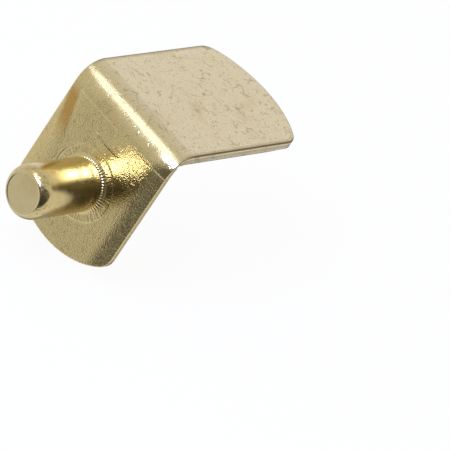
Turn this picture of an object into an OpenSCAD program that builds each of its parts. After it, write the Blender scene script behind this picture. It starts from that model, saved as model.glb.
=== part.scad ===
// Shelf support pin: a folded metal bracket with a headed pin pressed through its upright leaf.
// Millimetres, +Z up, as fitted to a cabinet side that stands to the left.
// Origin: the pin's axis where it crosses the upright leaf's outer face.
// The pin points along -X into the cabinet side, and the shelf lies on the level leaf's top face.

/* [Strip] */
// Width of the strip, across both leaves
strip_w = 16.7; // [15.6:0.1:20]
// Thickness of the sheet
sheet_t = 1.45; // [1.3:0.05:1.8]
// Reach of the level leaf, from the upright leaf's outer face to the tip
leaf_l = 24.9; // [22:0.1:30]
// Height of the upright leaf, from the level leaf's top face to the foot
wall_h = 20.3; // [19.6:0.1:24]
// Radius of the level leaf's tip
tip_r = 13.6; // [11:0.1:20]
// Radius of the upright leaf's foot
foot_r = 12.2; // [11:0.1:20]
// Radius of the rounded corners where the ends meet the sides
corner_r = 2.2; // [1:0.1:3]

/* [Fold] */
// Radius of the fold on its outer side
fold_r = 3.3; // [3:0.1:3.8]
// Radius of the fold's inner corner
inner_r = 0.9; // [0.6:0.1:1.1]
// Radius of the crease pressed along the inner corner
crease_r = 0.28; // [0.15:0.01:0.35]

/* [Edges] */
// Width of the rolled edge that slitting leaves along the sides, on the outer face
roll_w = 1.2; // [0.6:0.05:1.4]
// Depth of that rolled edge
roll_d = 0.26; // [0.18:0.01:0.32]
// Broken edge on the inner face
break_w = 0.12; // [0.05:0.01:0.2]

/* [Pin] */
// Diameter of the pin's shank, for a quarter-inch hole
pin_d = 6.35; // [6.25:0.01:6.4]
// Reach of the pin, from the upright leaf's outer face to its end
pin_l = 10.5; // [9:0.1:13]
// Depth of the pin's axis below the level leaf's top face
pin_drop = 11.6; // [11:0.1:12]
// Diameter of the flat on the pin's end
flat_d = 4.96; // [4.4:0.02:5.4]
// Length of the crowned end
crown_l = 1.25; // [0.9:0.05:1.6]

/* [Collar] */
// Diameter of the pin's seat, and of its hole in the upright leaf
seat_d = 6.2; // [6.18:0.01:6.24]
// Diameter over the teeth at the outer end of the knurled collar
collar_d = 6.1; // [6.04:0.02:6.16]
// Diameter over the teeth where the collar spreads on the upright leaf
flare_d = 7.4; // [6.7:0.1:7.8]
// Depth of the knurled teeth
tooth_h = 0.14; // [0.08:0.01:0.2]
// Number of knurled teeth
teeth = 56; // [40:4:72]
// Reach of the knurled collar beyond the upright leaf's outer face
collar_l = 0.25; // [0.15:0.05:0.3]
// Width of the plain groove between collar and shank
groove_w = 0.2; // [0.15:0.01:0.25]

/* [Head] */
// Diameter of the pin's head
head_d = 12.2; // [11.4:0.1:12.6]
// Thickness of the head
head_t = 0.95; // [0.8:0.05:1.4]
// Radius of the head's rounded rim
rim_r = 0.45; // [0.3:0.05:0.6]
// Diameter of the small pip at the head's centre
pip_d = 0.8; // [0.5:0.1:1.2]
// Height of the pip
pip_h = 0.12; // [0.06:0.02:0.2]

/* [Seat] */
// Diameter of the flat that the setting tool leaves around the collar
stake_d = 9.1; // [8:0.1:9.6]
// Diameter of the dish around that flat, at the outer face
dish_d = 13.6; // [11.8:0.1:14]
// Depth of the dish in the outer face
dish_h = 0.3; // [0.2:0.05:0.7]
// Depth to which the head is pressed into the inner face
sink_h = 0.2; // [0.1:0.05:0.3]
// Width of the dished margin around the head
margin_w = 1; // [0.6:0.1:1.2]

/* [Hidden] */
$fn = 96;
half_w = strip_w / 2;
pin_r = pin_d / 2;
seat_r = seat_d / 2;
collar_r = collar_d / 2;
flare_r = flare_d / 2;
// Depth of the plain groove, a little under the teeth's roots
groove_in = 0.3;
groove_r = collar_r - groove_in;
flat_r = flat_d / 2;
head_r = head_d / 2;
// Arc of the rolled edge: it leaves the face at a slight lean and falls away to the cut side
roll_lean = 6;
roll_slope = atan(roll_d / roll_w);
roll_r = norm([roll_w, roll_d]) / (2 * sin(roll_slope - roll_lean));
// Inset of the corner arcs' centres, a little under their radius so that they cross the sides
corner_in = 0.98 * corner_r;
// Arc of the crown: level with the shank, then closing on the flat
crown_in = pin_r - flat_r;
crown_r = (crown_in * crown_in + crown_l * crown_l) / (2 * crown_in);
// Centre of the fold's inner corner, measured from both outer faces
inner_c = sheet_t + inner_r;
crease_c = inner_c - inner_r / sqrt(2);
// Levels along the pin, outward from the upright leaf's outer face
shank_start = collar_l + groove_w;
// Lean and length of the collar's slope
collar_lean = atan((flare_r - collar_r) / (collar_l + dish_h));
collar_slant = norm([flare_r - collar_r, collar_l + dish_h]);
crown_start = pin_l - crown_l;
head_seat = sink_h - sheet_t;
head_top = head_seat - head_t;
// Room by which a cutter passes the face it starts from
over = 0.5;

bracket();
pin();

// Folded strip with its hole, dish and crease
module bracket() {
    color([0.80, 0.71, 0.50])
    translate([0, 0, pin_drop])
    difference() {
        union() {
            leaf(leaf_l, tip_r);
            fold();
            upright() leaf(wall_h, foot_r);
        }
        crease();
        translate([0, 0, -pin_drop]) pin_axis() pin_seat();
    }
}

// Headed pin: head, seat, knurled collar, shank and crown on one axis
module pin() {
    color([0.84, 0.73, 0.44])
    pin_axis() {
        difference() {
            rotate_extrude() pin_profile();
            for (i = [0 : teeth - 1]) rotate(i * 360 / teeth) tooth_gap();
        }
        translate([0, 0, head_top - pip_h]) pip();
    }
}

// Turns a shape drawn along +Z onto the pin's axis, outward from the outer face
module pin_axis() {
    rotate([0, -90, 0]) children();
}

// Turns a shape drawn as the level leaf into the upright leaf
module upright() {
    mirror([1, 0, 0]) rotate([0, 90, 0]) children();
}

// One flat leaf from the fold to its arc end, outer face at z = 0
module leaf(length, end_r) {
    arc_c = length - end_r;
    difference() {
        intersection() {
            translate([fold_r, 0, 0]) rotate([90, 0, 90]) linear_extrude(length) strip_section();
            translate([arc_c, 0, 0]) {
                rotate_extrude() rim_section(end_r);
                translate([-length, -strip_w, -sheet_t]) cube([length, 2 * strip_w, sheet_t]);
            }
        }
        for (side = [0, 1]) mirror([0, side, 0]) translate([arc_c, 0, -sheet_t - over])
            linear_extrude(sheet_t + 2 * over) corner(end_r);
    }
}

// What a rounded corner takes off where the arc end, drawn about its centre, meets the strip's side
module corner(end_r) {
    turn = asin((half_w - corner_in) / (end_r - corner_in));
    reach = 3 * corner_r;
    translate([(end_r - corner_in) * cos(turn), half_w - corner_in]) difference() {
        polygon([[0, 0], reach * [cos(turn), sin(turn)], [reach, reach], [0, reach]]);
        circle(corner_r);
    }
}

// Section across the strip, its sides rolled on the outer face
module strip_section() {
    for (side = [0, 1]) mirror([side, 0]) difference() {
        rim_section(half_w);
        roll(half_w);
    }
}

// Half of a section, from a centre line out to the cut side, broken on the inner face
module rim_section(r) {
    polygon([[0, 0], [r, 0], [r, break_w - sheet_t], [r - break_w, -sheet_t], [0, -sheet_t]]);
}

// What the rolled edge takes from the corner of a section
module roll(r) {
    difference() {
        translate([r - roll_w, -roll_d]) square([roll_w + over, roll_d + over]);
        translate([r - roll_w - roll_r * sin(roll_lean), -roll_r * cos(roll_lean)]) circle(roll_r);
    }
}

// Quarter turn between the leaves: the outer radius less the inner corner
module fold() {
    difference() {
        translate([fold_r, 0, -fold_r]) fold_axis() rotate_extrude(angle = 90) fold_section();
        translate([inner_c, 0, -inner_c]) {
            fold_axis() rotate_extrude(angle = 90) inner_section(inner_r);
            rotate([90, 0, 90]) linear_extrude(fold_r) inner_flat();
            upright() rotate([90, 0, 90]) linear_extrude(fold_r) inner_flat();
        }
    }
}

// Turns a shape swept about +Z so that it sweeps about the fold, from the upright leaf to the level one
module fold_axis() {
    rotate([90, -90, 0]) children();
}

// Half sections of the fold's outer side, out to the outer face
module fold_section() {
    rotate(-90) for (side = [0, 1]) mirror([side, 0]) difference() {
        square([half_w, fold_r]);
        translate([0, fold_r]) roll(half_w);
    }
}

// Section of the space inside the fold's corner, wider where the inner edges are broken
module inner_section(r) {
    polygon([
        [0, -half_w - over], [r + break_w + over, -half_w - over], [r, break_w - half_w],
        [r, half_w - break_w], [r + break_w + over, half_w + over], [0, half_w + over]
    ]);
}

// The same space beside the corner, along a leaf
module inner_flat() {
    polygon([
        [-half_w - over, -fold_r], [-half_w - over, inner_r + break_w + over], [break_w - half_w, inner_r],
        [half_w - break_w, inner_r], [half_w + over, inner_r + break_w + over], [half_w + over, -fold_r]
    ]);
}

// Narrow crease along the inner corner
module crease() {
    translate([crease_c, half_w + over, -crease_c]) rotate([90, 0, 0])
        cylinder(r = crease_r, h = strip_w + 2 * over);
}

// Hole for the pin's seat, the dish around it and the bed of the head
module pin_seat() {
    translate([0, 0, -sheet_t - over]) cylinder(r = seat_r, h = sheet_t + 2 * over);
    translate([0, 0, -dish_h]) cylinder(r1 = stake_d / 2, r2 = dish_d / 2, h = dish_h);
    translate([0, 0, -sheet_t]) cylinder(r1 = head_r + margin_w, r2 = head_r, h = sink_h);
}

// Half profile of the turned pin
module pin_profile() {
    translate([0, head_top]) head_profile();
    translate([0, head_seat]) square([seat_r, -dish_h - head_seat]);
    polygon([[0, -dish_h], [flare_r, -dish_h], [collar_r, collar_l], [0, collar_l]]);
    translate([0, collar_l]) square([groove_r, groove_w]);
    translate([0, shank_start]) square([pin_r, crown_start - shank_start]);
    translate([0, crown_start]) intersection() {
        square([pin_r, crown_l]);
        union() {
            square([pin_r - crown_r, crown_l]);
            translate([pin_r - crown_r, 0]) circle(crown_r);
        }
    }
}

// Half profile of the head, its rim rounded on the free side
module head_profile() {
    difference() {
        square([head_r, head_t]);
        difference() {
            translate([head_r - rim_r, -over]) square([rim_r + over, rim_r + over]);
            translate([head_r - rim_r, rim_r]) circle(rim_r);
        }
    }
}

// Gap between two teeth, a square bar on edge along the collar's slope, from the groove to past the flare
module tooth_gap() {
    side = sqrt(2) * tooth_h;
    length = collar_slant + groove_w / 2 + over;
    translate([collar_r, 0, collar_l]) rotate([0, -collar_lean, 0])
        translate([0, 0, groove_w / 2 - length / 2]) rotate(45) cube([side, side, length], center = true);
}

// Small raised pip left at the head's centre
module pip() {
    cylinder(r1 = pip_d / 2 - pip_h, r2 = pip_d / 2, h = pip_h);
}
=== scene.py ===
from math import atan2, cos, hypot, pi, radians, sin, sqrt, tau

import bmesh
import bpy
from bpy.props import FloatProperty, FloatVectorProperty, IntProperty, PointerProperty
from bpy.types import Operator, Panel, PropertyGroup
from mathutils import Matrix, Vector, noise


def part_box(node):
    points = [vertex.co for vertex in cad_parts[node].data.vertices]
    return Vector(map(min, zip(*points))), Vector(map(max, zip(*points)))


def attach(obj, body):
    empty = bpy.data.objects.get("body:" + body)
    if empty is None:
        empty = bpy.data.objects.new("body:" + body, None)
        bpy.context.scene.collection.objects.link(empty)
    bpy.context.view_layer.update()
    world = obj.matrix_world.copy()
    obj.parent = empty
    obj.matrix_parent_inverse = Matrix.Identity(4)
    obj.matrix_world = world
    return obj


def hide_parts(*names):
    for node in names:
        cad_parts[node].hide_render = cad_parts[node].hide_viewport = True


bl_info = {
    "name": "Shelf Support Pin",
    "version": (1, 0, 0),
    "blender": (4, 5, 0),
    "location": "3D View > Sidebar > Shelf Support",
    "description": "A folded brass-plated bracket with a staked pin, and the studio that shows it",
    "category": "Add Mesh",
}

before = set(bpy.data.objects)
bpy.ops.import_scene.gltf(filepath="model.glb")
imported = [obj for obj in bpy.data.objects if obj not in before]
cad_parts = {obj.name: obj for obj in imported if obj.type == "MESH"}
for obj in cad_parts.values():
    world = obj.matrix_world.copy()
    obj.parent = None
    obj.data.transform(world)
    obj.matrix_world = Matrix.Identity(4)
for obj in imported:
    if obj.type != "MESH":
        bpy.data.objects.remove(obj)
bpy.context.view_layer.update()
BRACKET_LOW, BRACKET_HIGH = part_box("bracket")
PIN_LOW, PIN_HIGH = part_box("pin")
MM = 0.001


def linear(code):
    """Turn an sRGB hex colour into a linear one."""
    channels = [int(code[i:i + 2], 16) / 255 for i in (0, 2, 4)]
    return [c / 12.92 if c <= 0.04045 else ((c + 0.055) / 1.055) ** 2.4 for c in channels] + [1]


def length(name, description, millimetres):
    """Give the definition of one size, written in millimetres and held in metres."""
    return FloatProperty(name=name, description=description, default=millimetres * MM,
                         min=0, unit="LENGTH", precision=5)


def colour(name, description, code):
    """Give the definition of one colour, written as an sRGB hex value."""
    return FloatVectorProperty(name=name, description=description, default=linear(code),
                               size=4, min=0, max=1, subtype="COLOR")


# Sizes and colours

class BracketSizes(PropertyGroup):
    """Sizes of the folded strip."""
    width: length("Width", "Width of the strip", (BRACKET_HIGH.y - BRACKET_LOW.y) / MM)
    reach: length("Reach", "Reach of the level leaf from the upright's face", BRACKET_HIGH.x / MM)
    height: length("Height", "Level leaf's top face above the pin's axis", BRACKET_HIGH.z / MM)
    drop: length("Drop", "Foot of the upright below the pin's axis", -BRACKET_LOW.z / MM)
    sheet: length("Sheet", "Thickness of the sheet", 1.45)
    tip: length("Tip radius", "Radius of the level leaf's end", 13.6)
    foot: length("Foot radius", "Radius of the upright's end", 12.2)
    corner: length("Corner radius", "Radius where the ends meet the sides", 2.2)
    fold: length("Fold radius", "Radius of the fold's outer side", 3.3)
    nook: length("Inner radius", "Radius of the fold's inner corner", 0.9)
    crease: length("Crease", "Radius of the crease along the inner corner", 0.28)
    roll: length("Rolled edge", "Width of the rolled edge along the sides", 2.6)
    roll_fall: length("Roll depth", "Fall of the upright's rolled edge along the sides", 0.36)
    leaf_fall: length("Leaf roll depth", "Fall of the leaf's rolled edge along the sides", 0.1)
    crop: length("Cropped edge", "Width of the rolled edge inside both ends", 0.9)
    crop_fall: length("Crop depth", "Fall of the rolled edge inside both ends", 0.22)
    edge: length("Cut edge", "Radius left along the cut edges", 0.14)
    dish: length("Dish", "Radius of the dish around the pin", 7.4)
    stake: length("Stake", "Radius of the flat that the setting tool leaves", 3.8)
    dish_fall: length("Dish depth", "Depth of the dish", 0.03)
    bed: length("Head bed", "Radius of the hollow around the pin's head", 7.1)
    bed_floor: length("Bed floor", "Radius of that hollow's level floor", 6.1)
    bed_fall: length("Bed depth", "Depth to which the head is pressed in", 0.2)
    hole: length("Hole", "Radius of the pin's hole", 3.1)
    bow: length("Bow", "Fall of the sheet from its middle to its sides", 0.04)
    ripple: length("Ripple", "Height of the waves that pressing leaves in the sheet", 0.006)


class PinSizes(PropertyGroup):
    """Sizes of the pin."""
    reach: length("Reach", "Reach of the pin from the upright's outer face", -PIN_LOW.x / MM)
    shank: length("Shank radius", "Radius of the shank", 3.175)
    crown: length("Crown", "Length of the crowned end", 1.25)
    flat: length("Flat radius", "Radius of the flat on the end", 2.48)
    collar: length("Collar radius", "Radius of the collar's outer end", 3.05)
    flare: length("Flare radius", "Radius of the collar on the upright", 3.95)
    collar_end: length("Collar end", "Reach of the collar from the upright's outer face", 0.25)
    collar_base: length("Collar base", "Depth of the collar's base in the dish", 0.12)
    tooth: length("Tooth", "Depth of the knurled teeth", 0.1)
    teeth: IntProperty(name="Teeth", description="Number of knurled teeth",
                       default=56, min=24, max=96)
    groove: length("Groove radius", "Radius of the groove between collar and shank", 2.75)
    groove_end: length("Groove end", "Reach of the groove from the upright's outer face", 0.45)
    seat: length("Seat radius", "Radius of the seat in the hole", 3.1)
    head: length("Head radius", "Radius of the head", PIN_HIGH.y / MM)
    head_under: length("Head underside", "Depth of the head's underside", 1.25)
    head_face: length("Head face", "Depth of the head's face", 2.2)
    rim: length("Rim radius", "Radius of the head's rounded rim", 0.45)
    pip: length("Pip radius", "Radius of the pip on the head", 0.4)
    pip_top: length("Pip top", "Depth of the pip's top", PIN_HIGH.x / MM)
    ripple: length("Ripple", "Height of the dents along the shank", 0.006)


class PlatingColours(PropertyGroup):
    """Colours of the plating."""
    gold: colour("Gold", "Plating on the upright's outer face", "E6D39A")
    # Straw on the leaf's top is partly a paler film and partly painted light; in the fold it is a
    # painted highlight
    straw_and_sheen: colour("Pale gold", "Plating on the level leaf's top face", "F7E8C3")
    warm: colour("Warm gold", "Plating on the inner faces", "D6BA74")
    stain: colour("Stain", "Brown stain in the film", "C2964C")
    # Speck also darkens a thin line along the leaf's cut edges
    speck: colour("Speck", "Pits and dust in the film", "6E5A34")
    end: colour("Pin's end", "Plating on the flat of the pin's end", "E0D0A0")
    pin: colour("Pin", "Plating on the pin's shank", "DECA92")
    rose: colour("Rose film", "Pink bands in the head's film", "DEC6A0")
    green: colour("Green film", "Green bands in the head's film", "CEC698")


class StudioSettings(PropertyGroup):
    """Light, floor and camera."""
    floor: colour("Floor", "Colour of the floor", "FFFFFF")
    overhead: FloatProperty(name="Overhead", description="Power of the softbox overhead",
                            default=0.36, min=0, unit="POWER")
    side: FloatProperty(name="Side", description="Power of the softbox beyond the pin",
                        default=3.0, min=0, unit="POWER")
    dark: FloatProperty(name="Dark side", description="Brightness of the room behind the camera",
                        default=0.08, min=0, subtype="FACTOR")
    under: FloatProperty(name="Underneath", description="Brightness of the table under the object",
                         default=0.4, min=0, subtype="FACTOR")
    overhead_colour: colour("Overhead colour", "Colour of the softbox overhead", "D2DCFF")
    side_colour: colour("Side colour", "Colour of the softbox beyond the pin", "B8C8FF")
    distance: length("Distance", "Distance of the camera", 600)
    field: length("Field", "Width of the view at the object", 50.7)


# Small tools shared by the pieces

WELD = 0.0005 * MM
SHARP_ANGLE = radians(48)


def smooth_step(value):
    """Ease a share from 0 to 1, level at both ends."""
    share = min(max(value, 0), 1)
    return share * share * (3 - 2 * share)


def mix(start, end, share):
    """Go a share of the way from one number to another."""
    return start + (end - start) * share


def finish_piece(bm, name, material, node_name):
    """Close the mesh, make it an object with its material, and hand it to the frame."""
    bmesh.ops.remove_doubles(bm, verts=bm.verts, dist=WELD)
    bmesh.ops.recalc_face_normals(bm, faces=bm.faces)
    mesh = bpy.data.meshes.new(name)
    bm.to_mesh(mesh)
    bm.free()
    mesh.shade_smooth()
    mesh.set_sharp_from_angle(angle=SHARP_ANGLE)
    mesh.materials.append(material)
    piece = bpy.data.objects.new(name, mesh)
    bpy.context.scene.collection.objects.link(piece)
    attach(piece, "root")
    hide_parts(node_name)


def add(tree, kind, sockets, **settings):
    """Add a node with its settings, and fill its sockets from values, nodes or their outputs."""
    made = tree.nodes.new(kind)
    for name, value in settings.items():
        setattr(made, name, value)
    for key, value in sockets.items():
        if isinstance(key, int):
            socket = made.inputs[key]
        else:
            socket = next(s for s in made.inputs if s.enabled and s.name == key)
        if isinstance(value, bpy.types.Node):
            value = next(s for s in value.outputs if s.enabled)
        if isinstance(value, bpy.types.NodeSocket):
            tree.links.new(value, socket)
        else:
            socket.default_value = value
    return made


def new_material(name):
    """Start a material with an empty node tree."""
    material = bpy.data.materials.new(name)
    material.use_nodes = True
    material.node_tree.nodes.clear()
    return material, material.node_tree


# Bracket

# Cells of the sheet's grid, and how strongly they crowd towards its cut edges
WALL_CELLS, FOLD_CELLS, LEAF_CELLS, WIDTH_CELLS = 88, 40, 66, 96
ROWS = WALL_CELLS + FOLD_CELLS + LEAF_CELLS
WALL_CROWD, LEAF_CROWD, WIDTH_CROWD = 0.5, 0.6, 0.7

# Waves of the pressed sheet: their width, the finer ones on them, and the inner face's shift
WAVE = 4.5 * MM
FINER, FAINTER = 2.7, 0.4
INNER_SHIFT = 9 * MM

# Cut rim: shares of the sheet where the shear stops and the tear starts, and the tear's step
SHEARED, TORN = 0.42, 0.47
TEAR = 0.02 * MM

# Radius of the ring that the setting tool leaves around the pin
TOOL_RING = 4.5 * MM


def crowd(share, strength):
    """Crowd even steps towards the cut edge, where the sheet curves most."""
    return mix(share, sin(share * pi / 2), strength)


class Blank:
    """The flat blank: where it ends, how deep its two faces lie, and how it folds.

    Its own axes run along the strip from the fold to the level leaf's tip, across it, and up
    from the outer face.
    """

    def __init__(self, sizes):
        self.s = sizes
        self.half = sizes.width / 2
        self.bend = sizes.fold * pi / 2
        self.tip_end = sizes.reach - sizes.fold
        self.foot_end = self.bend + sizes.height + sizes.drop - sizes.fold
        self.pin = -self.bend - (sizes.height - sizes.fold)
        self.flat = sizes.fold - sizes.sheet - sizes.nook
        self.path = 2 * self.flat + sizes.nook * pi / 2
        self.thin = sizes.fold - sizes.nook - self.flat * sqrt(2)

    def end(self, across, leaf):
        """Give an end's reach at a place across the strip, inside its cut edge, and its way out."""
        s = self.s
        radius = s.tip if leaf else s.foot
        centre = (self.tip_end if leaf else self.foot_end) - radius
        aside = self.half - s.corner
        away = radius - s.corner
        place = abs(across)
        if place <= aside * (radius - s.edge) / away:
            radius -= s.edge
            forth = sqrt(radius ** 2 - place ** 2)
            out = Vector((forth, place, 0)) / radius
        else:
            centre += sqrt(away ** 2 - aside ** 2)
            radius = s.corner - s.edge
            side = min(place - aside, radius)
            forth = sqrt(radius ** 2 - side ** 2)
            out = Vector((forth, side, 0)) / radius
        reach = centre + forth
        out.y = out.y if across > 0 else -out.y
        if leaf:
            return reach, out
        return -reach, Vector((-out.x, out.y, 0))

    def place(self, row, rail):
        """Give the place along and across the blank of one crossing of the sheet's grid."""
        share = 2 * rail / WIDTH_CELLS - 1
        across = (self.half - self.s.edge) * crowd(share, WIDTH_CROWD)
        if row <= WALL_CELLS:
            share = 1 - row / WALL_CELLS
            end = self.end(across, False)[0]
            return mix(-self.bend, end, crowd(share, WALL_CROWD)), across
        if row <= WALL_CELLS + FOLD_CELLS:
            return -self.bend * (1 - (row - WALL_CELLS) / FOLD_CELLS), across
        share = (row - WALL_CELLS - FOLD_CELLS) / LEAF_CELLS
        end = self.end(across, True)[0]
        return end * crowd(share, LEAF_CROWD), across

    def ripple(self, along, across):
        """Give the low waves that pressing leaves in the sheet."""
        spot = Vector((along, across, 0)) / WAVE
        return self.s.ripple * (noise.noise(spot) + FAINTER * noise.noise(spot * FINER))

    def outer(self, along, across):
        """Give the depth of the outer face: its rolled sides and the dish around the pin."""
        s = self.s
        roll = max(0, (abs(across) - self.half + s.roll) / s.roll)
        radius = hypot(along - self.pin, across)
        dish = 1 - smooth_step((radius - s.stake) / (s.dish - s.stake))
        bow = s.bow * (across / self.half) ** 2
        fall = mix(s.roll_fall, s.leaf_fall, smooth_step(1 + along / self.bend))
        return fall * roll ** 2 + s.dish_fall * dish + bow + self.ripple(along, across)

    def inner(self, along, across):
        """Give the depth of the inner face: its rolled ends, the head's bed and the crease."""
        s = self.s
        end, out = self.end(across, along > -self.bend / 2)
        crop = max(0, 1 - abs(end - along) * abs(out.x) / s.crop)
        radius = hypot(along - self.pin, across)
        bed = 1 - smooth_step((radius - s.bed_floor) / (s.bed - s.bed_floor))
        aside = abs(along / self.bend + 0.5) * self.path
        crease = sqrt(max(s.crease ** 2 - aside ** 2, 0)) * s.sheet / self.thin
        rise = s.crop_fall * crop ** 2 + s.bed_fall * bed + crease
        return s.sheet - rise + self.ripple(along + INNER_SHIFT, across)

    def folded(self, along, across, up):
        """Give the place of a point of the flat blank once the strip is folded."""
        s = self.s
        if along >= 0:
            return Vector((s.fold + along, across, s.height + up))
        if along <= -self.bend:
            return Vector((-up, across, s.height - s.fold + self.bend + along))
        turn = -along / s.fold
        outer = Vector((s.fold - s.fold * sin(turn), across,
                        s.height - s.fold + s.fold * cos(turn)))
        gone = -along / self.bend * self.path
        nook = s.sheet + s.nook
        if gone < self.flat:
            inner = Vector((s.fold - gone, across, s.height - s.sheet))
        elif gone < self.path - self.flat:
            turn = (gone - self.flat) / s.nook
            inner = Vector((nook - s.nook * sin(turn), across,
                            s.height - nook + s.nook * cos(turn)))
        else:
            inner = Vector((s.sheet, across, s.height - s.fold + self.path - gone))
        return outer.lerp(inner, -up / s.sheet)


def sheet_face(bm, blank, depth):
    """Lay one face of the blank as a grid cut to its outline, and give its rim's places."""
    verts = bmesh.ops.create_grid(bm, x_segments=ROWS, y_segments=WIDTH_CELLS, size=1)["verts"]
    rim = {}
    for vert in verts:
        row = round((vert.co.x + 1) / 2 * ROWS)
        rail = round((vert.co.y + 1) / 2 * WIDTH_CELLS)
        along, across = blank.place(row, rail)
        vert.co = (along, across, -depth(along, across))
        if row in (0, ROWS):
            rim[vert] = along, across, blank.end(across, row == ROWS)[1]
        elif rail in (0, WIDTH_CELLS):
            rim[vert] = along, across, Vector((0, 1 if rail else -1, 0))
    return rim


def cut_rim(bm, blank, rim):
    """Draw the cut rim from the outer face to the inner one: rounded, sheared, torn, rounded."""
    edge = blank.s.edge
    round_off = [radians(a) for a in (22.5, 45, 67.5, 90)]
    steps = [(edge * sin(a), 0, edge * (1 - cos(a))) for a in round_off]
    steps += [(edge, SHEARED, 0), (edge - TEAR, TORN, 0)]
    steps += [(edge * cos(a), 1, -edge * (1 - sin(a))) for a in [0] + round_off]
    # The rim layer marks the outer rounding of the cut edges, which the plating paints as a darker
    # line
    darker_edge = bm.verts.layers.float["rim"]
    for vert in rim:
        vert[darker_edge] = 1
    edges = [e for e in bm.edges if e.is_boundary]
    for out, share, shift in steps:
        drawn = bmesh.ops.extrude_edge_only(bm, edges=edges)["geom"]
        fresh = {}
        for vert in (g for g in drawn if isinstance(g, bmesh.types.BMVert)):
            old = next(v for v in (e.other_vert(vert) for e in vert.link_edges) if v in rim)
            along, across, way = rim[old]
            depth = mix(blank.outer(along, across), blank.inner(along, across), share) + shift
            vert.co = Vector((along, across, -depth)) + way * out
            vert[darker_edge] = 1 if share == 0 and out < edge else 0
            fresh[vert] = rim[old]
        edges = [g for g in drawn
                 if isinstance(g, bmesh.types.BMEdge) and set(g.verts) <= fresh.keys()]
        rim = fresh


def pin_hole(bm, blank):
    """Punch the pin's hole through both faces and line it."""
    centre = Vector((blank.pin, 0))
    hole = blank.s.hole
    inside = [f for f in bm.faces if (f.calc_center_median().xy - centre).length < hole]
    bmesh.ops.delete(bm, geom=inside, context="FACES")
    lip = [e for e in bm.edges if e.is_boundary]
    for vert in {v for e in lip for v in e.verts}:
        vert.co.xy = centre + (vert.co.xy - centre).normalized() * hole
    bmesh.ops.bridge_loops(bm, edges=lip)


def far_stain(tree, height, across, outside):
    """Mask the brown stain along the far side of the upright, about 1.7 mm wide."""
    lean = add(tree, "ShaderNodeMath", {0: height, 1: 0.245, 2: 5.68 * MM},
               operation="MULTIPLY_ADD")
    off = add(tree, "ShaderNodeMath", {0: across, 1: lean}, operation="SUBTRACT")
    off = add(tree, "ShaderNodeMath", {0: off}, operation="ABSOLUTE")
    streak = add(tree, "ShaderNodeMapRange", {
        "Value": off, "From Min": 0.5 * MM, "From Max": 1.2 * MM, "To Min": 0.85, "To Max": 0},
        interpolation_type="SMOOTHSTEP")
    start = add(tree, "ShaderNodeMapRange", {
        "Value": height, "From Min": 0.5 * MM, "From Max": 5 * MM},
        interpolation_type="SMOOTHSTEP")
    stop = add(tree, "ShaderNodeMapRange", {
        "Value": height, "From Min": 7.2 * MM, "From Max": 9 * MM, "To Min": 1, "To Max": 0})
    for share in (start, stop, outside):
        streak = add(tree, "ShaderNodeMath", {0: streak, 1: share}, operation="MULTIPLY")
    return streak


def curling_scratches(tree, place):
    """Mask curling scratches, about 0.1 mm wide and 2 mm long."""
    scratch = 0.0
    for size, shift in ((2.2, 0.3), (3.4, 7.1), (1.5, 4.4)):
        curl = add(tree, "ShaderNodeMapping", {
            "Vector": place, "Location": (shift, shift, shift), "Scale": [1 / (size * MM)] * 3})
        line = add(tree, "ShaderNodeTexNoise", {"Vector": curl, "Scale": 1, "Detail": 1})
        line = add(tree, "ShaderNodeMath", {0: line, 1: 0.5}, operation="SUBTRACT")
        line = add(tree, "ShaderNodeMath", {0: line}, operation="ABSOLUTE")
        line = add(tree, "ShaderNodeMapRange", {
            "Value": line, "From Min": 0.002, "From Max": 0.045 / size, "To Min": 1, "To Max": 0})
        kept = add(tree, "ShaderNodeTexNoise", {"Vector": curl, "Scale": 2.3, "Detail": 2})
        kept = add(tree, "ShaderNodeMapRange", {"Value": kept, "From Min": 0.49, "From Max": 0.6})
        line = add(tree, "ShaderNodeMath", {0: line, 1: kept}, operation="MULTIPLY")
        scratch = add(tree, "ShaderNodeMath", {0: line, 1: scratch}, operation="MAXIMUM")
    return scratch


def edge_darkening(tree, blank, across, up, level):
    """Mask a darker line along the corner of the leaf's cut edge, about 0.4 mm wide."""
    rim = add(tree, "ShaderNodeAttribute", {}, attribute_name="rim").outputs["Fac"]
    aside = add(tree, "ShaderNodeMath", {0: across}, operation="ABSOLUTE")
    aside = add(tree, "ShaderNodeMapRange", {
        "Value": aside, "From Min": blank.half - 0.6 * MM, "From Max": blank.half - 0.2 * MM,
        "To Max": 0.45})
    top = add(tree, "ShaderNodeMapRange", {
        "Value": up, "From Min": -0.36 * MM, "From Max": -0.26 * MM})
    aside = add(tree, "ShaderNodeMath", {0: aside, 1: top}, operation="MULTIPLY")
    darker_edge = add(tree, "ShaderNodeMath", {0: rim, 1: 0.5, 2: aside}, operation="MULTIPLY_ADD")
    return add(tree, "ShaderNodeMath", {0: darker_edge, 1: level}, operation="MULTIPLY", use_clamp=True)


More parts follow.
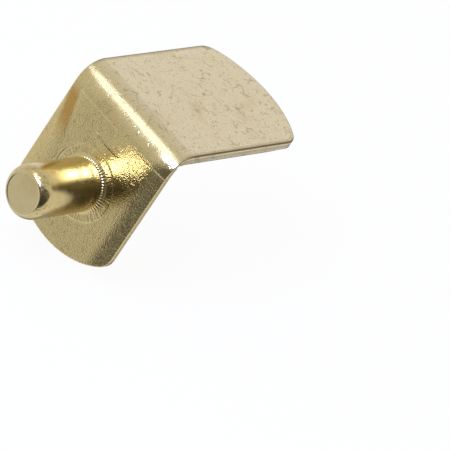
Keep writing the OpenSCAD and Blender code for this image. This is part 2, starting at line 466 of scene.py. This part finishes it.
def setting_marks(tree, height, across, outside):
    """Mask the setting tool's marks: spokes that it dragged, and the ring around them."""
    centred = add(tree, "ShaderNodeCombineXYZ", {"X": height, "Y": across})
    radius = add(tree, "ShaderNodeVectorMath", {0: centred}, operation="LENGTH").outputs["Value"]
    angle = add(tree, "ShaderNodeMath", {0: across, 1: height}, operation="ARCTAN2")
    polar = add(tree, "ShaderNodeCombineXYZ", {"X": angle, "Y": radius})
    polar = add(tree, "ShaderNodeMapping", {"Vector": polar, "Scale": (14, 1 / (2 * MM), 1)})
    spokes = add(tree, "ShaderNodeTexNoise", {"Vector": polar, "Scale": 1, "Detail": 2})
    inside = add(tree, "ShaderNodeMapRange", {
        "Value": radius, "From Min": TOOL_RING - 0.2 * MM, "From Max": TOOL_RING + 0.2 * MM,
        "To Min": 1, "To Max": 0})
    for share in (inside, outside):
        spokes = add(tree, "ShaderNodeMath", {0: spokes, 1: share}, operation="MULTIPLY")
    ring = add(tree, "ShaderNodeMath", {0: radius, 1: TOOL_RING}, operation="SUBTRACT")
    ring = add(tree, "ShaderNodeMath", {0: ring}, operation="ABSOLUTE")
    ring = add(tree, "ShaderNodeMapRange", {
        "Value": ring, "From Min": 0, "From Max": 0.14 * MM, "To Min": 1, "To Max": 0})
    return spokes, ring


def folding_marks(tree, blank, along, height, across, outside):
    """Mask the folding die's marks: a line where the fold begins, and a short scuff below it."""
    die = add(tree, "ShaderNodeMath", {0: along, 1: blank.bend}, operation="ADD")
    die = add(tree, "ShaderNodeMath", {0: die}, operation="ABSOLUTE")
    die = add(tree, "ShaderNodeMapRange", {
        "Value": die, "From Min": 0.03 * MM, "From Max": 0.12 * MM, "To Min": 1, "To Max": 0})
    die = add(tree, "ShaderNodeMath", {0: die, 1: outside}, operation="MULTIPLY")
    bow = add(tree, "ShaderNodeMath", {0: across, 1: across}, operation="MULTIPLY")
    bow = add(tree, "ShaderNodeMath", {0: bow, 1: 40, 2: 5.8 * MM}, operation="MULTIPLY_ADD")
    scuff = add(tree, "ShaderNodeMath", {0: height, 1: bow}, operation="SUBTRACT")
    scuff = add(tree, "ShaderNodeMath", {0: scuff}, operation="ABSOLUTE")
    scuff = add(tree, "ShaderNodeMapRange", {
        "Value": scuff, "From Min": 0.04 * MM, "From Max": 0.16 * MM, "To Min": 1, "To Max": 0})
    near = add(tree, "ShaderNodeMath", {0: across}, operation="ABSOLUTE")
    near = add(tree, "ShaderNodeMapRange", {
        "Value": near, "From Min": 1.7 * MM, "From Max": 2.1 * MM, "To Min": 1, "To Max": 0})
    for share in (near, outside):
        scuff = add(tree, "ShaderNodeMath", {0: scuff, 1: share}, operation="MULTIPLY")
    return die, scuff


def bracket_plating(colours, blank):
    """Brass plating over pressed steel, under a thin passivated film.

    A satin metal: straw on the level leaf, partly its paler film and partly painted light, running
    into the fold as a painted highlight; deeper gold elsewhere, with an orange-peel grain, handling
    scratches, pits, brown stains in the film, a darker line along the leaf's cut edges, and the
    marks of the folding and setting tools.
    """
    material, tree = new_material("brass_plated_pressed_steel")
    place = add(tree, "ShaderNodeAttribute", {}, attribute_name="blank").outputs["Vector"]
    along, across, up = add(tree, "ShaderNodeSeparateXYZ", {"Vector": place}).outputs
    height = add(tree, "ShaderNodeMath", {0: along, 1: blank.pin}, operation="SUBTRACT")

    # Masks: 1 on the outer face, and 1 on the level leaf, reaching into the fold, where the leaf's
    # straw is a painted highlight
    outside = add(tree, "ShaderNodeMapRange", {
        "Value": up, "From Min": -1.2 * MM, "From Max": -1.1 * MM})
    level = add(tree, "ShaderNodeMapRange", {
        "Value": along, "From Min": -3.4 * MM, "From Max": 0.4 * MM},
        interpolation_type="SMOOTHSTEP")

    # Film: slow drifts of tone over about 5 mm, mottling over about 1 mm
    drift = add(tree, "ShaderNodeTexNoise", {"Vector": place, "Scale": 1 / (5 * MM), "Detail": 3})
    blotch = add(tree, "ShaderNodeMapRange", {
        "Value": drift, "From Min": 0.54, "From Max": 0.8, "To Max": 0.3})
    mottle = add(tree, "ShaderNodeTexNoise", {
        "Vector": place, "Scale": 1 / (1.1 * MM), "Detail": 4})

    # Pits and dust, about 0.2 mm across and 1.8 mm apart
    pits = add(tree, "ShaderNodeTexVoronoi", {"Vector": place, "Scale": 1 / (1.8 * MM)})
    pits = add(tree, "ShaderNodeMapRange", {
        "Value": pits.outputs["Distance"], "From Min": 0.03, "From Max": 0.09,
        "To Min": 0.55, "To Max": 0})

    # Orange-peel grain, finer than 0.1 mm on the metal and drawn 0.14 mm wide, so that it shows
    grain = add(tree, "ShaderNodeTexNoise", {
        "Vector": place, "Scale": 1 / (0.135 * MM), "Detail": 0})
    fleck = add(tree, "ShaderNodeMapRange", {
        "Value": grain, "From Min": 0.3, "From Max": 0.7, "To Max": 0.24})

    # Scratches, which hold more dirt on the leaf
    scratch = curling_scratches(tree, place)
    worn = add(tree, "ShaderNodeMapRange", {"Value": level, "To Min": 0.2, "To Max": 0.45})
    worn = add(tree, "ShaderNodeMath", {0: scratch, 1: worn}, operation="MULTIPLY")

    # Colour: gold, straw on the leaf and warm inside, under the stains, flecks and darker edge line
    # in turn
    streak = far_stain(tree, height, across, outside)
    darker_edge = edge_darkening(tree, blank, across, up, level)
    # The leaf's straw is partly painted light on its top, and a painted highlight where it runs
    # into the fold
    tone = add(tree, "ShaderNodeMix", {"Factor": level, "A": colours.gold, "B": colours.straw_and_sheen},
               data_type="RGBA")
    tone = add(tree, "ShaderNodeMix", {"Factor": outside, "A": colours.warm, "B": tone},
               data_type="RGBA")
    for mask, shade in ((blotch, colours.stain), (streak, colours.stain), (pits, colours.speck),
                        (fleck, colours.speck), (worn, colours.speck), (darker_edge, colours.speck)):
        tone = add(tree, "ShaderNodeMix", {"Factor": mask, "A": tone, "B": shade},
                   data_type="RGBA")

    # Relief: the grain, flatter on the fold and the leaf, then each mark with its height against
    # the grain's, which is negative where the mark lies sunk
    calm = add(tree, "ShaderNodeMapRange", {
        "Value": along, "From Min": -blank.bend, "From Max": -0.6 * blank.bend,
        "To Min": 1, "To Max": 0.45})
    relief = add(tree, "ShaderNodeMath", {0: grain, 1: calm}, operation="MULTIPLY")
    spokes, ring = setting_marks(tree, height, across, outside)
    die, scuff = folding_marks(tree, blank, along, height, across, outside)
    for mark, rise in ((mottle, 0.15), (scratch, -0.4), (spokes, 3.0), (ring, -2.0),
                       (die, 1.5), (scuff, 12.0)):
        relief = add(tree, "ShaderNodeMath", {0: mark, 1: rise, 2: relief},
                     operation="MULTIPLY_ADD")
    bump = add(tree, "ShaderNodeBump", {"Strength": 1, "Distance": 0.019 * MM, "Height": relief})
    rough = add(tree, "ShaderNodeMapRange", {
        "Value": mottle, "From Min": 0.3, "From Max": 0.7, "To Min": 0.14, "To Max": 0.23})
    shader = add(tree, "ShaderNodeBsdfPrincipled", {
        "Base Color": tone, "Metallic": 1, "Roughness": rough, "Normal": bump})
    add(tree, "ShaderNodeOutputMaterial", {"Surface": shader})
    return material


class SUPPORT_OT_bracket(Operator):
    """Press the strip with its rolled edges, dish and hole, and fold it"""
    bl_idname = "support.bracket"
    bl_label = "Fold the Bracket"

    def execute(self, context):
        blank = Blank(context.scene.support_bracket)
        bm = bmesh.new()
        bm.verts.layers.float.new("rim")
        flat = bm.verts.layers.float_vector.new("blank")
        rim = sheet_face(bm, blank, blank.outer)
        cut_rim(bm, blank, rim)
        sheet_face(bm, blank, blank.inner)
        bmesh.ops.remove_doubles(bm, verts=bm.verts, dist=WELD)
        pin_hole(bm, blank)
        for vert in bm.verts:
            vert[flat] = vert.co
            vert.co = blank.folded(*vert.co)
        material = bracket_plating(context.scene.support_plating, blank)
        finish_piece(bm, "folded_bracket", material, "bracket")
        return {"FINISHED"}


# Pin

# Steps of the turned shapes
CROWN_STEPS, CORNER_STEPS, TOOTH_STEPS = 10, 6, 4
COLLAR_CUTS, SHANK_CUTS = 6, 44

# Knurl: half a gap as a share of the pitch, how hollow the flare is, and how far inside the
# seat's radius the teeth are still cut
GAP_HALF = 0.25
FLARE_HOLLOW = 0.9
TEETH_INSIDE = 0.1 * MM

# Dents along the shank: their width, and how many times as long they are
DENT = 1.6 * MM
DENT_STRETCH = 2

# Pip on the head: its top's radius as a share of its foot's
PIP_TAPER = 0.6


def turned_profile(bm, s):
    """Draw half the pin's section, from the middle of the head to the middle of its end."""
    # Corners: place along the axis, radius, and rounding in millimetres
    corners = [
        (s.pip_top, 0, 0), (s.pip_top, s.pip * PIP_TAPER, 0.06), (s.head_face, s.pip, 0.04),
        (s.head_face, s.head, s.rim / MM), (s.head_under, s.head, 0.1), (s.head_under, s.seat, 0),
        (s.collar_base, s.seat, 0), (s.collar_base, s.flare, 0.04), (-s.collar_end, s.collar, 0.05),
        (-s.collar_end, s.groove, 0.03), (-s.groove_end, s.groove, 0.03),
        (-s.groove_end, s.shank, 0.1), (s.crown - s.reach, s.shank, 0)]
    verts = [bm.verts.new((along, 0, radius)) for along, radius, _ in corners]
    edges = [bm.edges.new(pair) for pair in zip(verts, verts[1:])]
    collar, shank = edges[7], edges[11]
    sink = s.shank - s.flat
    arc = (sink ** 2 + s.crown ** 2) / (2 * sink)
    crowned = bmesh.ops.spin(
        bm, geom=[verts[-1]], cent=(s.crown - s.reach, 0, s.shank - arc), axis=(0, 1, 0),
        angle=-atan2(s.crown, arc - sink), steps=CROWN_STEPS)["geom_last"]
    end = next(g for g in crowned if isinstance(g, bmesh.types.BMVert))
    end.co = (-s.reach, 0, s.flat)
    # Sheared end: how far it is sunk and how far in, in millimetres, inside a thin lip
    sheared = ((0, 0.1), (0.03, 0.16), (0.03, 0.24), (0.03, 0.4), (0.03, 1.2), (0.03, s.flat / MM))
    for sunk, inset in sheared:
        end = bmesh.ops.extrude_vert_indiv(bm, verts=[end])["verts"][0]
        end.co = (sunk * MM - s.reach, 0, s.flat - inset * MM)
    bmesh.ops.subdivide_edges(bm, edges=[collar], cuts=COLLAR_CUTS)
    bmesh.ops.subdivide_edges(bm, edges=[shank], cuts=SHANK_CUTS)
    for along, radius, rounding in corners:
        if rounding:
            corner = Vector((along, 0, radius))
            vert = min(bm.verts, key=lambda v: (v.co - corner).length)
            bmesh.ops.bevel(bm, geom=[vert], offset=rounding * MM, offset_type="OFFSET",
                            segments=CORNER_STEPS, profile=0.5, affect="VERTICES", material=-1)


def pin_plating(colours, s):
    """Brass plating over cold-headed steel, under a thin passivated film.

    A brighter metal than the strip: drawing lines along the shank, a paler sheared end, and a film
    on the head that shifts from straw to rose and green.
    """
    material, tree = new_material("brass_plated_headed_steel")
    place = add(tree, "ShaderNodeTexCoord", {}).outputs["Object"]
    along = add(tree, "ShaderNodeSeparateXYZ", {"Vector": place}).outputs["X"]

    # Masks: 1 everywhere but on the flat end, and 1 on the head
    body = add(tree, "ShaderNodeMapRange", {
        "Value": along, "From Min": 0.05 * MM - s.reach, "From Max": 0.15 * MM - s.reach})
    headed = add(tree, "ShaderNodeMapRange", {
        "Value": along, "From Min": 1.0 * MM, "From Max": 1.3 * MM})

    # Film: slow drifts of tone over about 4 mm, mottling over about 1 mm and a grain of 0.2 mm
    drift = add(tree, "ShaderNodeTexNoise", {"Vector": place, "Scale": 1 / (4 * MM), "Detail": 3})
    blotch = add(tree, "ShaderNodeMapRange", {
        "Value": drift, "From Min": 0.54, "From Max": 0.8, "To Max": 0.35})
    mottle = add(tree, "ShaderNodeTexNoise", {
        "Vector": place, "Scale": 1 / (0.9 * MM), "Detail": 4})
    grain = add(tree, "ShaderNodeTexNoise", {"Vector": place, "Scale": 1 / (0.2 * MM), "Detail": 2})

    # Film on the head: soft rose and green bands about 5 mm wide
    bands = add(tree, "ShaderNodeTexNoise", {
        "Vector": place, "Scale": 1 / (8 * MM), "Detail": 1, "Distortion": 0.5})
    film = add(tree, "ShaderNodeValToRGB", {"Fac": bands})
    stops = film.color_ramp.elements
    stops[0].position, stops[0].color = 0.3, colours.green
    stops[1].position, stops[1].color = 0.72, colours.warm
    for spot, shade in ((0.42, colours.green), (0.5, colours.rose), (0.6, colours.pin)):
        stops.new(spot).color = shade

    # Knocks around the crowned end, about 0.3 mm wide
    crowned = add(tree, "ShaderNodeMapRange", {
        "Value": along, "From Min": 0.7 * s.crown - s.reach, "From Max": 1.2 * s.crown - s.reach,
        "To Min": 1, "To Max": 0})
    knocks = add(tree, "ShaderNodeTexNoise", {
        "Vector": place, "Scale": 1 / (0.6 * MM), "Detail": 2, "Distortion": 0.6})
    knocks = add(tree, "ShaderNodeMapRange", {"Value": knocks, "From Min": 0.52, "From Max": 0.62})
    for share in (crowned, body):
        knocks = add(tree, "ShaderNodeMath", {0: knocks, 1: share}, operation="MULTIPLY")
    dull = add(tree, "ShaderNodeMath", {0: knocks, 1: 0.3}, operation="MULTIPLY")

    # Drawing lines along the shank, about 0.2 mm apart and 4 mm long
    drawn = add(tree, "ShaderNodeMapping", {
        "Vector": place, "Scale": (1 / (4 * MM), 1 / (0.2 * MM), 1 / (0.2 * MM))})
    drawn = add(tree, "ShaderNodeTexNoise", {"Vector": drawn, "Scale": 1, "Detail": 2})

    # Colour: the end's, then the shank's, the head's film, the stains and the knocks over it
    tone = colours.end
    for mask, shade in ((body, colours.pin), (headed, film), (blotch, colours.stain),
                        (dull, colours.speck)):
        tone = add(tree, "ShaderNodeMix", {"Factor": mask, "A": tone, "B": shade},
                   data_type="RGBA")

    # Relief: the grain, then each mark with its height against the grain's
    relief = grain
    for mark, rise in ((mottle, 0.5), (drawn, 0.8), (knocks, -2.5)):
        relief = add(tree, "ShaderNodeMath", {0: mark, 1: rise, 2: relief},
                     operation="MULTIPLY_ADD")
    bump = add(tree, "ShaderNodeBump", {"Strength": 0.3, "Distance": 0.02 * MM, "Height": relief})
    rough = add(tree, "ShaderNodeMapRange", {
        "Value": mottle, "From Min": 0.3, "From Max": 0.7, "To Min": 0.13, "To Max": 0.22})
    shader = add(tree, "ShaderNodeBsdfPrincipled", {
        "Base Color": tone, "Metallic": 1, "Roughness": rough, "Normal": bump})
    add(tree, "ShaderNodeOutputMaterial", {"Surface": shader})
    return material


class SUPPORT_OT_pin(Operator):
    """Turn the headed pin with its knurled collar and crowned end"""
    bl_idname = "support.pin"
    bl_label = "Head the Pin"

    def execute(self, context):
        s = context.scene.support_pin
        bm = bmesh.new()
        turned_profile(bm, s)
        bmesh.ops.spin(bm, geom=bm.verts[:] + bm.edges[:], cent=(0, 0, 0), axis=(1, 0, 0),
                       angle=tau, steps=TOOTH_STEPS * s.teeth, use_merge=True)
        reach = s.collar_end + s.collar_base
        for vert in bm.verts:
            along, radius = vert.co.x, vert.co.yz.length
            share = (along + s.collar_end) / reach
            if 0 <= share <= 1 and radius > s.seat - TEETH_INSIDE:
                pitch = atan2(vert.co.z, vert.co.y) / tau * s.teeth % 1
                gap = max(0, 1 - abs(pitch - 0.5) / GAP_HALF)
                hollow = (s.flare - s.collar) * share * (1 - share) * FLARE_HOLLOW
                vert.co.yz *= (radius - s.tooth * gap - hollow) / radius
            elif along < -s.groove_end:
                spot = Vector((along / DENT_STRETCH, vert.co.y, vert.co.z)) / DENT
                vert.co.yz *= 1 + s.ripple * noise.noise(spot) / s.shank
        material = pin_plating(context.scene.support_plating, s)
        finish_piece(bm, "headed_pin", material, "pin")
        return {"FINISHED"}


# Stage

# Floor: half its width in metres, and the share of its white that is its own glow
FLOOR_HALF = 0.75
FLOOR_GLOW = 0.94

# Room: up from its table, the way to its dark side, and the heights at which the table begins and
# at which it darkens under the part
TABLE_UP = Vector((-0.626, 0, 0.779))
CAMERA_SIDE = Vector((-0.461, -0.808, -0.368))
TABLE_LOW, TABLE_HIGH = -0.1, 0.08
UNDER_LOW, UNDER_HIGH = -0.98, -0.84

# Brightness of the room's walls, from the far side at 0 towards the dark side at 1
FAR_TONE = 0.86
WALL_TONES = (
    (0.5, 0.84), (0.55, 0.76), (0.6, 0.88), (0.625, 0.7), (0.645, 0.42), (0.675, 0.22),
    (0.72, 0.1), (0.75, 0.09), (0.785, 0.28), (0.82, 0.2), (0.87, 0.07))

# Softboxes: the ways to them, and their widths and distance in metres
OVERHEAD_WAY = Vector((-0.49, 0.42, 0.765)).normalized()
SIDE_WAY = Vector((-0.77, 0.05, 0.63)).normalized()
OVERHEAD_WIDTH, SIDE_WIDTH = 0.29, 0.26
LAMP_DISTANCE = 0.6

# Camera: where it stands from the leaf's edge, the picture's up, and the middle of the view
TOWARDS_CAMERA = Vector((-0.774, -0.416, 0.478)).normalized()
IMAGE_UP = Vector((0.089, 0.675, 0.732)).normalized()
LEAF_EDGE = Vector((0, 0, 11.6)) * MM
VIEW_CENTRE = Vector((5.41, -15.23, 7.11)) * MM
SENSOR_WIDTH = 36


def facing(way, up):
    """Give the turn of a lamp or camera that looks back along a direction."""
    back = way.normalized()
    right = up.cross(back).normalized()
    return Matrix((right, back.cross(right), back)).transposed().to_euler()


def grey(tone):
    """Give a grey of one linear brightness."""
    return tone, tone, tone, 1


def white_floor(s):
    """Lay a floor of matt white paint, which shows as plain white with the part's soft shadow.

    Most of its white is its own glow. It is hidden from reflections, because the metal mirrors
    the room's table in its place.
    """
    material, tree = new_material("matt_white_floor")
    matt = add(tree, "ShaderNodeBsdfDiffuse", {"Color": s.floor})
    glow = add(tree, "ShaderNodeEmission", {"Color": s.floor, "Strength": 1})
    shader = add(tree, "ShaderNodeMixShader", {0: FLOOR_GLOW, 1: matt, 2: glow})
    add(tree, "ShaderNodeOutputMaterial", {"Surface": shader})
    bm = bmesh.new()
    bmesh.ops.create_grid(bm, x_segments=1, y_segments=1, size=FLOOR_HALF)
    bmesh.ops.translate(bm, verts=bm.verts, vec=(0, 0, BRACKET_LOW.z))
    mesh = bpy.data.meshes.new("floor")
    bm.to_mesh(mesh)
    bm.free()
    mesh.materials.append(material)
    floor = bpy.data.objects.new("floor", mesh)
    floor.visible_glossy = False
    bpy.context.scene.collection.objects.link(floor)


def drawn_room(s):
    """Draw the room that lights the part and that its metal mirrors, as a world.

    It has a white table below, pale walls above it and a dark side behind the camera. The camera
    itself sees plain white in its place.
    """
    world = bpy.data.worlds.new("studio")
    world.use_nodes = True
    tree = world.node_tree
    tree.nodes.clear()
    way = add(tree, "ShaderNodeTexCoord", {}).outputs["Generated"]
    height = add(tree, "ShaderNodeVectorMath", {0: way, 1: TABLE_UP}, operation="DOT_PRODUCT")
    side = add(tree, "ShaderNodeVectorMath", {0: way, 1: CAMERA_SIDE}, operation="DOT_PRODUCT")
    around = add(tree, "ShaderNodeMapRange", {"Value": side.outputs["Value"], "From Min": -1})
    wall = add(tree, "ShaderNodeValToRGB", {"Fac": around})
    stops = wall.color_ramp.elements
    stops[0].color = grey(FAR_TONE)
    stops[1].color = grey(s.dark)
    for spot, tone in WALL_TONES:
        stops.new(spot).color = grey(tone)
    table = add(tree, "ShaderNodeMapRange", {
        "Value": height.outputs["Value"], "From Min": TABLE_LOW, "From Max": TABLE_HIGH,
        "To Min": 1, "To Max": 0}, interpolation_type="SMOOTHSTEP")
    under = add(tree, "ShaderNodeMapRange", {
        "Value": height.outputs["Value"], "From Min": UNDER_LOW, "From Max": UNDER_HIGH,
        "To Min": s.under, "To Max": 1}, interpolation_type="SMOOTHSTEP")
    room = add(tree, "ShaderNodeMix", {"Factor": table, "A": wall, "B": under},
               data_type="FLOAT")
    path = add(tree, "ShaderNodeLightPath", {})
    seen = add(tree, "ShaderNodeMix", {
        "Factor": path.outputs["Is Camera Ray"], "A": room, "B": 1.0}, data_type="FLOAT")
    light = add(tree, "ShaderNodeBackground", {"Strength": seen})
    add(tree, "ShaderNodeOutputWorld", {"Surface": light})
    return world


class SUPPORT_OT_stage(Operator):
    """Set the floor, the room, the softboxes and the camera"""
    bl_idname = "support.stage"
    bl_label = "Set the Stage"

    def execute(self, context):
        scene = context.scene
        s = scene.support_studio
        scene.view_settings.view_transform = "Standard"
        white_floor(s)
        scene.world = drawn_room(s)

        for name, way, width, power, shade in (
                ("overhead", OVERHEAD_WAY, OVERHEAD_WIDTH, s.overhead, s.overhead_colour),
                ("side", SIDE_WAY, SIDE_WIDTH, s.side, s.side_colour)):
            lamp = bpy.data.lights.new(name, "AREA")
            lamp.shape = "DISK"
            lamp.size = width
            lamp.energy = power
            lamp.color = shade[:3]
            softbox = bpy.data.objects.new(name, lamp)
            softbox.location = way * LAMP_DISTANCE
            softbox.rotation_euler = facing(way, Vector((0, 1, 0)))
            scene.collection.objects.link(softbox)

        lens = bpy.data.cameras.new("camera")
        lens.sensor_width = SENSOR_WIDTH
        lens.lens = SENSOR_WIDTH * s.distance / s.field
        camera = bpy.data.objects.new("camera", lens)
        camera.location = LEAF_EDGE + TOWARDS_CAMERA * s.distance
        camera.rotation_euler = facing(camera.location - VIEW_CENTRE, IMAGE_UP)
        scene.collection.objects.link(camera)
        scene.camera = camera
        return {"FINISHED"}


class SUPPORT_PT_panel(Panel):
    """Sizes, colours and steps of the shelf support"""
    bl_idname = "SUPPORT_PT_panel"
    bl_label = "Shelf Support"
    bl_space_type = "VIEW_3D"
    bl_region_type = "UI"
    bl_category = "Shelf Support"

    def draw(self, context):
        for step in (SUPPORT_OT_bracket, SUPPORT_OT_pin, SUPPORT_OT_stage):
            self.layout.operator(step.bl_idname)
        for group in GROUPS:
            box = self.layout.box()
            settings = getattr(context.scene, group)
            for name in settings.__annotations__:
                box.prop(settings, name)


CLASSES = (BracketSizes, PinSizes, PlatingColours, StudioSettings,
           SUPPORT_OT_bracket, SUPPORT_OT_pin, SUPPORT_OT_stage, SUPPORT_PT_panel)
GROUPS = {"support_bracket": BracketSizes, "support_pin": PinSizes,
          "support_plating": PlatingColours, "support_studio": StudioSettings}


def register():
    """Add the classes, and their settings to the scene."""
    for cls in CLASSES:
        bpy.utils.register_class(cls)
    for name, group in GROUPS.items():
        setattr(bpy.types.Scene, name, PointerProperty(type=group))


def unregister():
    """Take the settings and the classes away again."""
    for name in GROUPS:
        delattr(bpy.types.Scene, name)
    for cls in reversed(CLASSES):
        bpy.utils.unregister_class(cls)


def main():
    """Build both pieces and the stage."""
    register()
    bpy.ops.support.bracket()
    bpy.ops.support.pin()
    bpy.ops.support.stage()


if __name__ == "__main__":
    main()
